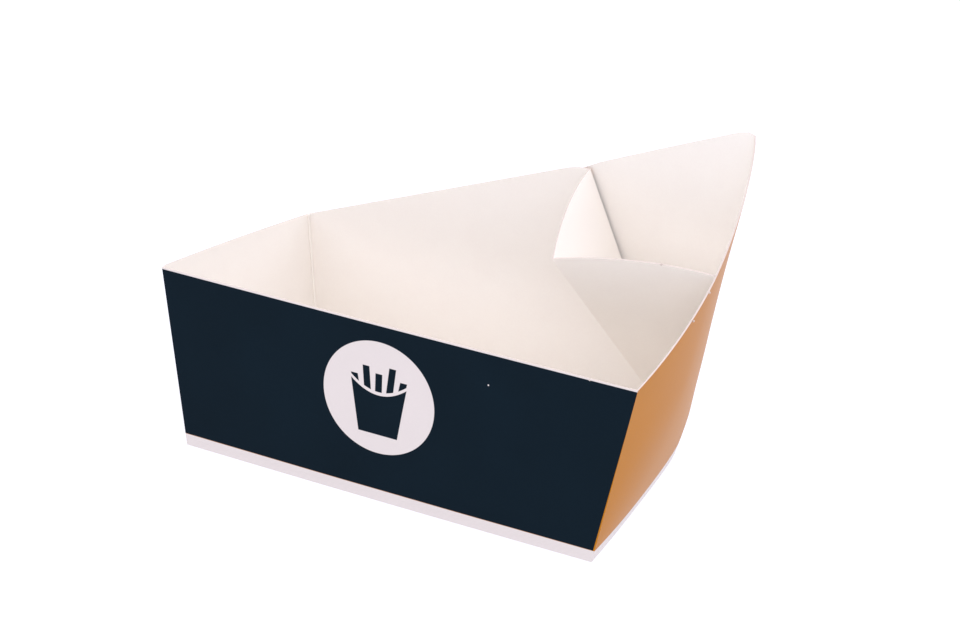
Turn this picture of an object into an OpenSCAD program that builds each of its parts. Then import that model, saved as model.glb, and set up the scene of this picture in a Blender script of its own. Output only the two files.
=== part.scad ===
// Fries tray with a sauce pocket in its rear right corner. It is one printed card blank, folded
// and glued. Millimetres: X runs along the front wall, Y to the rear and Z up, and the origin is
// the middle of the base's underside.

/* [Card] */
// Thickness of the card
card_t = 0.5; // [0.4:0.05:0.7]

/* [Base] */
// Length of the base along the front
base_front = 140; // [130:1:155]
// Length of the base along the rear
base_rear = 134; // [126:1:148]
// Depth of the base from front to rear
base_depth = 78; // [72:1:88]
// How far the base's right edge bows out in the middle
base_bow = 0.6; // [0.2:0.1:1.5]

/* [Front and left walls] */
// Height of the front wall
front_h = 60; // [54:1:64]
// How far the front left fold leans out at the rim
left_flare = 7.7; // [5:0.1:11]
// How far the front right fold leans out at the rim
right_flare = 10; // [7:0.1:13]
// Height of the rear left corner
corner_h = 48; // [42:1:56]

/* [Rear wall] */
// Angle that the rear wall leans back
rear_lean = 4.3; // [2:0.1:7]
// Slope of the rear wall's top edge
rear_slope = 21.4; // [19:0.1:23]
// Length of the soft rounding before the rear wall's peak
peak_round = 8.5; // [5:0.5:12]
// Slope of the top edge of the panel behind the pocket
back_slope = 23; // [21:0.1:25]
// Width of the glued strip where that panel overlaps the rear wall
glue_w = 20; // [12:1:28]

/* [Right wall] */
// Height of the tip over the rear right corner
tip_h = 107.2; // [102:0.1:112]
// How far the rear right fold leans out at the tip
tip_out = 12.6; // [9:0.1:15]
// Length of the soft rounding at the tip
tip_round = 7; // [4:0.5:10]
// How far the right wall bulges out in the middle
wall_bulge = 6.2; // [3:0.1:8]
// Height at which the bulge is full
bulge_h = 47; // [40:1:58]
// How far the wall's cut edge sags below a straight line from the tip to the front fold
cut_sag = 4; // [2:0.5:7]

/* [Sauce pocket] */
// Height of the pocket's lowest point, in the rear right corner
apex_h = 5; // [3:0.5:8]
// Length of the fold between the rear wall and the pocket's side
side_r = 90; // [86:0.1:93]
// Tilt of that fold from straight up, to the left
side_tilt = 26.4; // [24:0.1:29]
// Heading of the fold between the pocket's side and front, left of straight ahead
fold_turn = 33.7; // [30:0.1:38]
// Rise of that fold above level
fold_rise = 53.6; // [51:0.1:57]
// How far behind the middle the pocket's front meets the right wall's cut edge
front_end_y = 4.5; // [1:0.5:10]
// Crown of the top edge of the pocket's side
side_crown = 3.2; // [2:0.1:5]
// Crown of the top edge of the pocket's front
front_crown = 3.1; // [2:0.1:5]

/* [Colours] */
// Print on the front
navy = "#14222c";
// Print on the left, right and rear
orange = "#cc8a44";
// Bare card inside
bare = "#f2e9e2";

/* [Hidden] */
front_y = -base_depth / 2;
rear_y = base_depth / 2;
// How deep glued faces sink into each other, so that the blank is one solid
glue_sink = 0.05;
// The panel behind the pocket lies on the outside of the rear wall
back_y = rear_y + (card_t - glue_sink) / cos(rear_lean);
// Panels end in the middle of the thickness of the wall that they are folded from
half_t = card_t / 2;
// The base ends a little deeper than the walls, and the rear wall less deep beside the right wall
base_inset = 0.6 * card_t;
rear_inset = 0.7 * card_t;
apex_inset = 0.3 * card_t;
// The right wall ends in the middle of the thickness of the panel behind the pocket
wall_end = back_y - half_t;
// Steps through the card from the outer face of an upright and of a leaning wall
through_front = [0, card_t, 0];
through_rear = [0, -card_t / cos(rear_lean), 0];
arc_steps = 16;
wall_steps_y = 20;
wall_steps_z = 12;
contact_steps = 8;
// Strip of the rear wall beyond the fold to the pocket's side, and the height over which it starts
fold_strip = 1.5 * card_t;
fold_start = 4;
// How square the bulge's ends are at the base and at its full height
ends_low = 2.5;
ends_high = 1.75;
// How far the rear right corner draws in at the base, the height over which it does, and how
// short the drawn in stretch is
corner_draw = 1.7;
corner_draw_h = 14;
corner_draw_power = 16;
// How far below the tip its soft rounding starts
tip_drop = 1;

function unit(v) = v / norm(v);
function mix(a, b, k) = a + (b - a) * k;

// Sum of the edges' cross products round a closed outline, which points along its normal
function area_vector(p, i = 0) =
    i == len(p) ? [0, 0, 0] : cross(p[i], p[(i + 1) % len(p)]) + area_vector(p, i + 1);

// Arc from a to b that stands out by crown on the side away from point c
function arc_over(a, b, c, crown) =
    let (chord = b - a,
         half = norm(chord) / 2,
         radius = (half * half + crown * crown) / (2 * crown),
         along = unit(chord),
         middle = (a + b) / 2,
         away = middle - c,
         up = unit(away - along * (away * along)),
         reach = asin(half / radius))
    [for (i = [0 : arc_steps])
        let (turn = mix(-reach, reach, i / arc_steps))
        middle + along * radius * sin(turn) + up * (radius * cos(turn) - radius + crown)];

// Soft corner that starts at a, heads for b and ends at c
function soft(a, b, c, steps = 6) =
    [for (i = [0 : steps]) let (k = i / steps) mix(mix(a, b, k), mix(b, c, k), k)];

// Step through the card that is square to the outline of its outer face
function square_through(outer) = -unit(area_vector(outer)) * card_t;

// Point of the rear wall's outer face
function rear_point(x, z, y = rear_y) = [x, y + z * tan(rear_lean), z];

// The right wall: s runs from the front fold, 0, to the rear fold, 1
function wall_y(s, z) = mix(front_y, wall_end + z * tan(rear_lean), s);
function wall_s(y, z) = (y - front_y) / (wall_end + z * tan(rear_lean) - front_y);
function wall_bow(s, z) =
    let (k = min(1, z / bulge_h),
         out = mix(base_bow, wall_bulge, 1 - (1 - k) * (1 - k)))
    out * (1 - pow(abs(2 * s - 1), mix(ends_low, ends_high, k)));
function corner_in(s, z) =
    let (k = max(0, 1 - z / corner_draw_h))
    corner_draw * k * k * pow(s, corner_draw_power);
function wall_x(s, z) =
    mix(base_front / 2 + right_flare * z / front_h, base_rear / 2 + tip_out * z / tip_h, s)
    + wall_bow(s, z) - corner_in(s, z);
function wall_point(s, z) = [wall_x(s, z), wall_y(s, z), z];
function wall_normal(s, z) =
    let (e = 0.001,
         a = max(0, s - e),
         b = min(1, s + e))
    unit(cross(wall_point(b, z) - wall_point(a, z), wall_point(s, z + e) - wall_point(s, z)));

// Height of the right wall's cut edge, which is an arc seen from the side
cut_front = [front_y, front_h];
cut_rear = [wall_end + tip_h * tan(rear_lean), tip_h];
cut_chord = cut_rear - cut_front;
cut_radius = (pow(norm(cut_chord) / 2, 2) + cut_sag * cut_sag) / (2 * cut_sag);
cut_up = unit([-cut_chord[1], cut_chord[0]]);
cut_centre = (cut_front + cut_rear) / 2 + cut_up * (cut_radius - cut_sag);
function cut_z(y) = cut_centre[1] - sqrt(pow(cut_radius, 2) - pow(y - cut_centre[0], 2));
// The same height found along s, by repeated steps
function cut_z_at(s, z = front_h, steps = 12) =
    steps == 0 ? z : cut_z_at(s, cut_z(wall_y(s, z)), steps - 1);

// The pocket's points: its fold to the rear wall runs inside that wall's thickness
apex = rear_point(wall_x(1, apex_h), apex_h) - [card_t, half_t, 0];
peak = apex + side_r * [-sin(side_tilt), cos(side_tilt) * sin(rear_lean), cos(side_tilt) * cos(rear_lean)];
fold_top = apex + side_r * [-sin(fold_turn) * cos(fold_rise), -cos(fold_turn) * cos(fold_rise), sin(fold_rise)];
front_end_z = cut_z(front_end_y);
front_end = wall_point(wall_s(front_end_y, front_end_z), front_end_z);

// The pocket's front seen from the lowest point: r away from it and turned from the fold to the
// side by a
front_along = unit(fold_top - apex);
front_across = unit((front_end - apex) - front_along * ((front_end - apex) * front_along));
function front_point(r, a) = apex + r * (cos(a) * front_along + sin(a) * front_across);
// Angle at which the pocket's front reaches the middle of the right wall's thickness
function contact_angle(r, low = 20, high = 50, steps = 24) =
    let (a = (low + high) / 2,
         p = front_point(r, a),
         s = min(1, wall_s(p[1], p[2])))
    steps == 0 ? a
    : p[0] > wall_x(s, p[2]) - half_t ? contact_angle(r, low, a, steps - 1)
    : contact_angle(r, a, high, steps - 1);

// Flat panel from the points of its outer face, which run anticlockwise seen from outside, and
// the step through the card to its inner face
module panel(outer, through) {
    n = len(outer);
    polyhedron(
        points = concat(outer, [for (p = outer) p + through]),
        faces = concat(
            [[for (i = [n - 1 : -1 : 0]) i]],
            [[for (i = [0 : n - 1]) n + i]],
            [for (i = [0 : n - 1]) [i, (i + 1) % n, n + (i + 1) % n, n + i]]));
}

module base() {
    front = front_y + base_inset;
    rear = rear_y - base_inset;
    right_edge = [for (i = [wall_steps_y : -1 : 0])
        let (s = i / wall_steps_y)
        [wall_x(s, 0) - base_inset, mix(front, rear, s), 0]];
    left_edge = [[base_inset - base_front / 2, front, 0], [base_inset - base_rear / 2, rear, 0]];
    color(bare)
        panel(concat(left_edge, right_edge), [0, 0, card_t]);
}

module front_wall() {
    color(navy)
        panel([
            [half_t - base_front / 2, front_y, 0],
            [base_front / 2 - half_t, front_y, 0],
            [base_front / 2 + right_flare - half_t, front_y, front_h],
            [half_t - base_front / 2 - left_flare, front_y, front_h]], through_front);
}

// The rear left corner's top lies in the plane of the left wall
left_low_front = [-base_front / 2, front_y, 0];
left_low_rear = [-base_rear / 2, rear_y, 0];
left_top_front = [-base_front / 2 - left_flare, front_y, front_h];
left_normal = cross(left_low_rear - left_low_front, left_top_front - left_low_front);
left_top_y = rear_y + corner_h * tan(rear_lean);
left_top_rear = [
    left_low_front[0] - (left_normal[1] * (left_top_y - front_y) + left_normal[2] * corner_h) / left_normal[0],
    left_top_y,
    corner_h];

// The left wall ends in the middle of the rear wall's thickness
function short_of(rear, front) = mix(rear, front, half_t / (rear[1] - front[1]));

module left_wall() {
    color(orange)
        panel([short_of(left_low_rear, left_low_front), left_low_front, left_top_front,
               short_of(left_top_rear, left_top_front)],
            [norm(left_normal) * card_t / abs(left_normal[0]), 0, 0]);
}

module rear_wall() {
    fold_low = [apex[0] - fold_start * tan(side_tilt) + fold_strip, apex[2] + fold_start];
    fold_high = [peak[0] + fold_strip, peak[2]];
    edge_x = fold_high[0] - peak_round;
    edge_end = [edge_x, corner_h + (edge_x - left_top_rear[0]) * tan(rear_slope)];
    edge_aim = edge_end + peak_round / 2 * [1, tan(rear_slope)];
    color(orange)
        panel(concat(
            [rear_point(wall_x(1, 0) - rear_inset, 0), left_low_rear + [half_t, 0, 0],
             left_top_rear + [half_t, 0, 0]],
            [for (p = soft(edge_end, edge_aim, fold_high)) rear_point(p[0], p[1])],
            [rear_point(fold_low[0], fold_low[1]), rear_point(apex[0] + apex_inset, apex[2])]), through_rear);
}

// Panel behind the pocket, folded from the right wall and glued behind the rear wall
module back_panel() {
    slope = tan(back_slope);
    shift = glue_w / cos(side_tilt);
    top_start = [base_rear / 2 + tip_out - tip_round, tip_h - tip_drop];
    tip = [base_rear / 2 + tip_out - half_t, tip_h - half_t];
    left_x = peak[0] - shift;
    left_top = [left_x, top_start[1] - (top_start[0] - left_x) * slope];
    low_z = apex_h;
    left_low = [left_x + (left_top[1] - low_z) * tan(side_tilt) * cos(rear_lean), low_z];
    top = soft(top_start, top_start + tip_round / 2 * [1, slope], tip);
    color(orange)
        panel(concat(
            [rear_point(left_low[0], left_low[1], back_y), rear_point(left_top[0], left_top[1], back_y)],
            [for (p = top) rear_point(p[0], p[1], back_y)],
            [for (j = [wall_steps_z - 1 : -1 : 0])
                let (z = tip_h * j / wall_steps_z)
                rear_point(wall_x(1, z) - half_t, z, back_y)]), through_rear);
}

// The bulged right wall, as two skins a card's thickness apart
module right_wall() {
    ny = wall_steps_y;
    nz = wall_steps_z;
    row = nz + 1;
    half = (ny + 1) * row;
    outer = [for (i = [0 : ny], j = [0 : nz]) let (s = i / ny) [s, cut_z_at(s) * j / nz]];
    function at(i, j, inner = 0) = inner * half + i * row + j;
    color(orange)
        polyhedron(
            points = concat(
                [for (p = outer) wall_point(p[0], p[1])],
                [for (p = outer) wall_point(p[0], p[1]) - [card_t / wall_normal(p[0], p[1])[0], 0, 0]]),
            faces = concat(
                [for (i = [0 : ny - 1], j = [0 : nz - 1]) [at(i, j), at(i, j + 1), at(i + 1, j + 1)]],
                [for (i = [0 : ny - 1], j = [0 : nz - 1]) [at(i, j), at(i + 1, j + 1), at(i + 1, j)]],
                [for (i = [0 : ny - 1], j = [0 : nz - 1]) [at(i, j, 1), at(i + 1, j + 1, 1), at(i, j + 1, 1)]],
                [for (i = [0 : ny - 1], j = [0 : nz - 1]) [at(i, j, 1), at(i + 1, j, 1), at(i + 1, j + 1, 1)]],
                [for (i = [0 : ny - 1]) each [
                    [at(i, 0), at(i + 1, 0), at(i + 1, 0, 1)], [at(i, 0), at(i + 1, 0, 1), at(i, 0, 1)],
                    [at(i + 1, nz), at(i, nz), at(i, nz, 1)], [at(i + 1, nz), at(i, nz, 1), at(i + 1, nz, 1)]]],
                [for (j = [0 : nz - 1]) each [
                    [at(0, j + 1), at(0, j), at(0, j, 1)], [at(0, j + 1), at(0, j, 1), at(0, j + 1, 1)],
                    [at(ny, j), at(ny, j + 1), at(ny, j + 1, 1)], [at(ny, j), at(ny, j + 1, 1), at(ny, j, 1)]]]));
}

module pocket_side() {
    outer = concat([apex], arc_over(fold_top, peak, apex, side_crown));
    color(bare)
        panel(outer, square_through(outer));
}

module pocket_front() {
    top_r = norm(front_end - apex);
    corner = front_point(top_r, contact_angle(top_r));
    contact = [for (i = [1 : contact_steps - 1])
        let (r = top_r * (1 - i / contact_steps))
        front_point(r, contact_angle(r))];
    outer = concat([apex], [for (i = [len(contact) - 1 : -1 : 0]) contact[i]],
        arc_over(corner, fold_top, apex, front_crown));
    color(bare)
        panel(outer, square_through(outer));
}

module tray() {
    base();
    front_wall();
    left_wall();
    rear_wall();
    back_panel();
    right_wall();
    pocket_side();
    pocket_front();
}

tray();
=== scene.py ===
"""A folded card tray for fries with a sauce pocket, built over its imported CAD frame.

Lengths in the settings are in metres. X runs along the front wall, Y to the rear and Z up, and the
origin is the middle of the base's underside. The card is one sheet: its outer face is laid out
panel by panel, joined along the folds, given its thickness and rounded at folds and cut edges.
"""

import math
from types import SimpleNamespace

import bmesh
import bpy
import numpy as np
from bpy.props import FloatProperty, FloatVectorProperty, IntProperty, PointerProperty
from mathutils import Matrix, Vector, noise


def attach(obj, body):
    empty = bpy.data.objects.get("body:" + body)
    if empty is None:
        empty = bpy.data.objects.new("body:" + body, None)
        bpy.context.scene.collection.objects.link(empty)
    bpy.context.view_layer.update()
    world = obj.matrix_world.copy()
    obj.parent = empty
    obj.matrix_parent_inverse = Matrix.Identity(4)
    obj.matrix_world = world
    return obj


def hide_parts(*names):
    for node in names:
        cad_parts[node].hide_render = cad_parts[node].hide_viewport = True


bl_info = {
    "name": "Fries tray with sauce pocket",
    "version": (1, 0, 0),
    "blender": (4, 5, 0),
    "location": "3D View > Sidebar > Fries tray",
    "description": "Builds a printed and folded card fries tray, its wear and a studio round it",
    "category": "Object",
}

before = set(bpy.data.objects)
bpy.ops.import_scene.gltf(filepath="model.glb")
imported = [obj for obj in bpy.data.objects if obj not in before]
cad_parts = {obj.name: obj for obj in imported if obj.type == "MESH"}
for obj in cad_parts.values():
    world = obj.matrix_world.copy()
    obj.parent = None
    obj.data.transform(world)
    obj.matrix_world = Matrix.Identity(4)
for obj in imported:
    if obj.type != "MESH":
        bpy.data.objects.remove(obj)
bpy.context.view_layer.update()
MM = 0.001
NODE = "tray"
BODY = "root"

# Steps of the panels' grids
LONG_STEPS = 56
DEEP_STEPS = 40
HIGH_STEPS = 40
LOW_STEPS = 2
SIDE_STEPS = 18
FRONT_STEPS = 24
BACK_STEPS = 30
ROUND_STEPS = 8

# Widths of the rounding at folds and cut edges
FOLD_OUTSIDE = 0.40 * MM
FOLD_INSIDE = 0.20 * MM
CORNER_OUTSIDE = 0.70 * MM
POCKET_FOLD = 0.40 * MM
CUT_ROUND = 0.06 * MM
BEVEL_UNIT = 1.0 * MM
# Points closer than this are joined, and edges shorter than this are dissolved
JOIN_GAP = 0.02 * MM
THIN_EDGE = 0.001 * MM
# Where panels meet almost flat, the directions below this share of the main one are left out
FLAT_SHARE = 0.08

# How deep the glued strip's inner face sinks into the rear wall's outer face
GLUE_SINK = 0.05 * MM
# How far inside the glued strip's side, top and foot the rear wall's bare patch, painted dark as shade
# for the slit, ends
BARE_SIDE = 1.5 * MM
BARE_TOP = 3 * MM
BARE_FOOT = 6 * MM
# How much lower the glued strip is cut than its panel, and how far left of the peak that ends
STRIP_DROP = 1.2 * MM
STRIP_END = 0.6 * MM
# Points of the back's top edge: how far right of the peak, and how far below its straight slope
BACK_SAGS = ((0.6 * MM, 0.45 * MM), (12 * MM, 0.35 * MM))
# The soft tip: how low it starts, and how far right and above the tip's height its aim lies from
# that start, and its middle and its side from the rear fold
TIP_DROP = 0.80 * MM
TIP_AIM = (2.6 * MM, 0.45 * MM)
TIP_MIDDLE = (-1.0 * MM, 0.75 * MM)
TIP_SIDE = (-0.3 * MM, 0.65 * MM)
# Turns between which the pocket's front meets the right wall, how often that range is halved, and
# the lowest share of the way up for which it is
CONTACT_TURNS = (math.radians(15), math.radians(60))
CONTACT_HALVINGS = 40
CONTACT_LOW = 0.02
# How steeply the right rear fold's bend rises towards the tip
BEND_POWER = 8
# Size of the faint waves in flat panels
WAVE_SIZE = 26 * MM
WAVE_HEIGHT = 0.22 * MM
# How far off the inner corner a crease's ridge has its middle
RIDGE_OFFSET = 0.28 * MM

# Torn tags: depth for their width, grain and depth of their torn faces, range of turns and of sizes
TAG_DEPTH = 0.8
TAG_GRAIN = 0.3 * MM
TAG_TEAR = 0.35 * MM
TAG_TURNS = ((-0.2, -0.2, -0.6), (0.2, 0.2, 0.6))
TAG_SIZES = ((0.7, 0.8, 0.7), (1.2, 1.1, 1.1))
# Where they stand: place along the front rim, shares of the right cut edge, each with how low, and
# share of the pocket's top edge
RIM_TAG = (65.6 * MM, 0.4 * MM)
WALL_TAGS = ((0.34, 0.6 * MM), (0.455, 0.2 * MM))
POCKET_TAG = 0.70

# Softness of printed edges and width of the orange line over the foot strip, in millimetres
INK_EDGE = 0.12
FOOT_EDGE = 0.10
ORANGE_LINE = 0.10
# How strongly the unevenness of print shows in orange ink and in white coating
ORANGE_MOTTLE = 0.3
WHITE_MOTTLE = 0.12
# Height up to which orange reaches round the front right fold
WRAP_HEIGHT = 50 * MM
# Where a chip of ink is missing on the front wall, and how large it is at most
CHIP = (34.1 * MM, 49.5 * MM)
CHIP_SIZE = 0.5 * MM
# The carton in the disc, in millimetres from its middle: foot, half width there, flare, top and dip
CARTON_FOOT = -12.5
CARTON_HALF = 6.6
CARTON_FLARE = 0.16
CARTON_TOP = 1.0
CARTON_DIP = 0.045
# Its fries: half width, gap over the carton, and each stick's middle, tilt and top
STICK_HALF = 1.15
STICK_GAP = 1.1
STICKS = ((-7.2, -0.20, 6.6), (-3.6, -0.09, 10.0), (0.0, 0.0, 8.2), (3.6, 0.10, 11.0), (7.2, 0.19, 7.2))

# Tint of the light
DAYLIGHT = (0.99, 1.0, 1.105)
# The surroundings by height: top and fade of the horizon's band, middle and half width of the next
HORIZON_TOP, HORIZON_FADE = 0.12, 0.04
MIDDLE_HEIGHT, MIDDLE_HALF = 0.45, 0.3
# The floor, in metres, with its glow and its two shades
FLOOR_HALF = 2.5
FLOOR_DROP = 0.1 * MM
FLOOR_GLOW = 0.82
FLOOR_SHADES = ((0.20, 0.20, 0.20), (0.24, 0.24, 0.24))
# The softbox, in metres
SOFTBOX_SIZE = 0.8
SOFTBOX_PLACE = (0.1, -0.1, 1.2)
SOFTBOX_AIM = (0, 0, 0.05)


def length(name, text, mm):
    """A length setting, given in millimetres."""
    return FloatProperty(name=name, description=text, default=mm * MM, unit="LENGTH", precision=5)


def angle(name, text, degrees):
    """An angle setting, given in degrees."""
    return FloatProperty(name=name, description=text, default=math.radians(degrees), unit="ROTATION")


def number(name, text, value):
    """A plain number setting."""
    return FloatProperty(name=name, description=text, default=value, min=0.0)


def colour(name, text, red, green, blue):
    """A colour setting, given as it looks on screen, from 0 to 255."""
    return FloatVectorProperty(
        name=name,
        description=text,
        subtype="COLOR",
        size=3,
        min=0.0,
        max=1.0,
        default=[linear(value) for value in (red, green, blue)],
    )


def linear(value):
    """Light value of a screen value from 0 to 255."""
    share = value / 255
    return share / 12.92 if share <= 0.04045 else ((share + 0.055) / 1.055) ** 2.4


class TrayShape(bpy.types.PropertyGroup):
    card: length("Card", "Thickness of the card", 0.5)
    base_front: length("Base front", "Length of the base along the front", 140)
    base_rear: length("Base rear", "Length of the base along the rear", 134)
    base_depth: length("Base depth", "Depth of the base from front to rear", 78)
    base_bow: length("Base bow", "How far the base's right edge bows out", 0.65)
    base_lift: length("Base lift", "How far the middle of the base rises off the table", 0.5)
    front_h: length("Front height", "Height of the front wall", 60)
    front_bow: length("Front bow", "How far the front wall bows forward", 0.4)
    left_flare: length("Left flare", "How far the front left fold leans out at the rim", 8.1)
    left_bow: length("Left bow", "How far the left wall's top edge bows out", 0.7)
    left_step: length("Left step", "How much higher than the rim the left wall starts", 0.5)
    right_flare: length("Right flare", "How far the front right fold leans out at the rim", 10.4)
    corner_h: length("Corner height", "Height of the rear left corner", 48.05)
    rear_lean: angle("Rear lean", "Angle that the rear wall leans back", 4.3)
    rear_slope: angle("Rear slope", "Slope of the rear wall's top edge", 21.45)
    peak_round: length("Peak rounding", "Length of the soft rounding before the peak", 8.5)
    back_slope: angle("Back slope", "Slope of the panel behind the pocket", 23)
    glue_w: length("Glued strip", "Width of that panel's strip behind the rear wall", 20)
    glue_gap: length("Glue gap", "How far that panel stands off the rear wall halfway along", 1.4)
    tip_h: length("Tip height", "Height of the tip over the rear right corner", 107.2)
    tip_out: length("Tip lean", "How far the rear right fold leans out at the tip", 12.15)
    tip_round: length("Tip rounding", "Length of the soft rounding at the tip", 7)
    fold_bend: length("Fold bend", "How far the rear right fold bends out below the tip", 1.2)
    wall_bulge: length("Bulge", "How far the right wall bulges out in the middle", 5.6)
    bulge_h: length("Bulge height", "Height at which the bulge is full", 47)
    cut_sag: length("Cut sag", "Sag of the right wall's cut edge", 4)
    apex_h: length("Pocket foot", "Height of the pocket's lowest point", 5)
    side_r: length("Pocket side", "Length of the fold between rear wall and pocket", 90)
    side_tilt: angle("Side tilt", "Tilt of that fold from straight up", 26.4)
    fold_turn: angle("Fold turn", "Heading of the pocket's front fold, left of ahead", 32.6)
    fold_rise: angle("Fold rise", "Rise of the pocket's front fold", 53.6)
    front_end_y: length("Pocket end", "Where the pocket's front meets the cut edge", 4.5)
    side_crown: length("Side crown", "Crown of the pocket side's top edge", 2.7)
    front_crown: length("Front crown", "Crown of the pocket front's top edge", 3.1)


class TrayPrint(bpy.types.PropertyGroup):
    navy: colour("Navy", "Ink on the front wall", 13, 27, 36)
    orange: colour("Orange", "Ink on the left, right and rear walls", 185, 118, 28)
    coat: colour("Coated white", "Unprinted outer face of the card", 222, 212, 207)
    inside: colour("Inside", "Uncoated inner face of the card", 252, 236, 227)
    core: colour("Core", "Cut edge of the card", 212, 198, 188)
    # Colour of dried glue, made dark as painted shade so that the narrow slit behind the pocket's fold
    # looks deep
    glue: colour("Glue", "Dried glue under the rear wall's strip", 128, 122, 118)
    foot_h: length("Foot strip", "Height of the strip without print", 3.95)
    foot_rise: length("Foot rise", "How much higher that strip is halfway along the right wall", 0.8)
    rim_h: length("Bare rim", "Height of the strip without ink below the front's rim", 0.45)
    wrap_w: length("Wrap", "How far orange reaches round the foot of the front right fold", 0.5)
    disc_x: length("Disc x", "Middle of the pale disc along the front", -1.9)
    disc_z: length("Disc height", "Middle of the pale disc above the table", 35.4)
    disc_r: length("Disc radius", "Radius of the pale disc", 18.8)


class TrayWear(bpy.types.PropertyGroup):
    bead_r: length("Crease bead", "Radius of the ridge that creasing leaves inside a fold", 0.5)
    tag_w: length("Tag width", "Width of the torn tags left by the die's holding points", 0.7)
    tag_h: length("Tag height", "Height of those tags", 0.55)
    seed: IntProperty(name="Seed", description="Seed of the tags' small differences", default=7)


class TrayStage(bpy.types.PropertyGroup):
    lens: number("Lens", "Focal length in millimetres", 90.486)
    turn: angle("Camera turn", "Heading of the camera to the right of the front", 25.061)
    height: angle("Camera height", "Angle of the camera above the table", 26.45)
    roll: angle("Camera roll", "Turn of the picture about its middle", 2.532)
    reach: length("Camera distance", "Distance from the camera to its target", 768.96)
    target_x: length("Target right", "Target to the right of the origin in the picture", 10.962)
    target_y: length("Target up", "Target above the origin in the picture", 40.618)
    sky: number("Sky", "Strength of the white surroundings straight overhead", 1.85)
    middle: number("Middle", "Strength of the white surroundings at middle height", 1.68)
    horizon: number("Horizon", "Strength of the white band along the horizon", 0.9)
    key: number("Softbox", "Power of the softbox in watts", 1.2)


def settings():
    """The scene's settings for the tray."""
    return bpy.context.scene.fries_tray


# Node trees


def operation(kind, swapped=False):
    """A method that does maths with a link and another value."""

    def method(link, other):
        return link.maths(kind, *((other, link) if swapped else (link, other)))

    return method


class Link:
    """One output of a node, so that node maths can be written as an expression."""

    def __init__(self, tree, socket):
        self.tree = tree
        self.socket = socket

    def maths(self, kind, *values):
        return self.tree.add("ShaderNodeMath", dict(enumerate(values)), {"operation": kind})

    __add__ = operation("ADD")
    __radd__ = operation("ADD", True)
    __sub__ = operation("SUBTRACT")
    __rsub__ = operation("SUBTRACT", True)
    __mul__ = operation("MULTIPLY")
    __rmul__ = operation("MULTIPLY", True)
    __truediv__ = operation("DIVIDE")
    __pow__ = operation("POWER")

    def __neg__(self):
        return self.maths("MULTIPLY", self, -1.0)

    def __abs__(self):
        return self.maths("ABSOLUTE", self)


class Tree:
    """A node tree whose nodes all come from one method."""

    def __init__(self, tree):
        self.tree = tree

    def add(self, kind, values=None, choices=None, out=0):
        """Adds a node: its choices are set first, then its sockets by name or number."""
        node = self.tree.nodes.new(kind)
        for name, choice in (choices or {}).items():
            setattr(node, name, choice)
        for key, value in (values or {}).items():
            if isinstance(value, Link):
                self.tree.links.new(value.socket, node.inputs[key])
            else:
                node.inputs[key].default_value = value
        return Link(self, node.outputs[out]) if node.outputs else node

    def blend(self, share, first, second):
        """Colour that goes from the first to the second as share goes from 0 to 1."""
        first, second = ((*c, 1.0) if isinstance(c, tuple) else c for c in (first, second))
        return self.add("ShaderNodeMix", {0: share, 6: first, 7: second}, {"data_type": "RGBA"}, 2)

    def split(self, vector):
        """The three parts of a vector."""
        first = self.add("ShaderNodeSeparateXYZ", {0: vector})
        return [Link(self, socket) for socket in first.socket.node.outputs]

    def noise(self, place, size, detail=2.0, roughness=0.5):
        """Soft random value from 0 to 1 whose blotches are about size across."""
        values = {"Vector": place, "Scale": 1.0 / size, "Detail": detail, "Roughness": roughness}
        return self.add("ShaderNodeTexNoise", values)

    def stretch(self, place, factors):
        """Coordinates multiplied along each axis."""
        return self.add("ShaderNodeVectorMath", {0: place, 1: factors}, {"operation": "MULTIPLY"})


def emptied(owner):
    """The node tree of a material or world, without nodes."""
    owner.use_nodes = True
    owner.node_tree.nodes.clear()
    return Tree(owner.node_tree)


def bound(kind, plain):
    """A function that picks one of two values, which may be numbers or links."""

    def pick(a, b):
        link = next((value for value in (a, b) if isinstance(value, Link)), None)
        return link.maths(kind, a, b) if link else plain(a, b)

    return pick


least = bound("MINIMUM", min)
greatest = bound("MAXIMUM", max)


def clamped(value):
    """The value, held between 0 and 1."""
    return least(1.0, greatest(0.0, value))


def distance(a, b):
    """Length of the straight way over two steps at right angles."""
    return (a * a + b * b) ** 0.5


def inside_of(edge, soft):
    """1 where a signed distance from an edge is below 0 and 0 above it, over a soft edge."""
    return clamped(0.5 - edge / soft)


# The right wall's rule


def wall_x(w, s, z):
    """How far right the right wall is at s, from its front fold 0 to its rear fold 1, and z."""
    low = least(1.0, z / w.bulge_h)
    out = w.bow + (w.bulge - w.bow) * (1.0 - (1.0 - low) * (1.0 - low))
    ends = w.ends_low + (w.ends_high - w.ends_low) * low
    near = greatest(0.0, 1.0 - z / w.draw_h)
    drawn = w.draw * near * near * s**w.draw_power
    front = w.half_front + w.front_lean * z
    height = z / w.tip_h
    rear = w.half_rear + w.rear_out * height + w.bend * height**BEND_POWER * (1.0 - height)
    return front * (1.0 - s) + rear * s + out * (1.0 - abs(2.0 * s - 1.0) ** ends) - drawn


def wall_y(w, s, z):
    """How far back the right wall is at s and z."""
    return w.front_y + s * (w.end_y + w.lean * z - w.front_y)


def wall_share(w, y, z):
    """The s at which the right wall is y back at height z."""
    return (y - w.front_y) / (w.end_y + w.lean * z - w.front_y)


def wall_top(w, s):
    """Height of the cut edge at s: where the wall meets an arc seen from the side."""
    start = w.front_y + s * (w.end_y - w.front_y) - w.cut_y
    slant = s * w.lean
    a = 1.0 + slant * slant
    b = slant * start - w.cut_z
    c = start * start + w.cut_z * w.cut_z - w.cut_r * w.cut_r
    return (-b - (b * b - a * c) ** 0.5) / a


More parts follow.
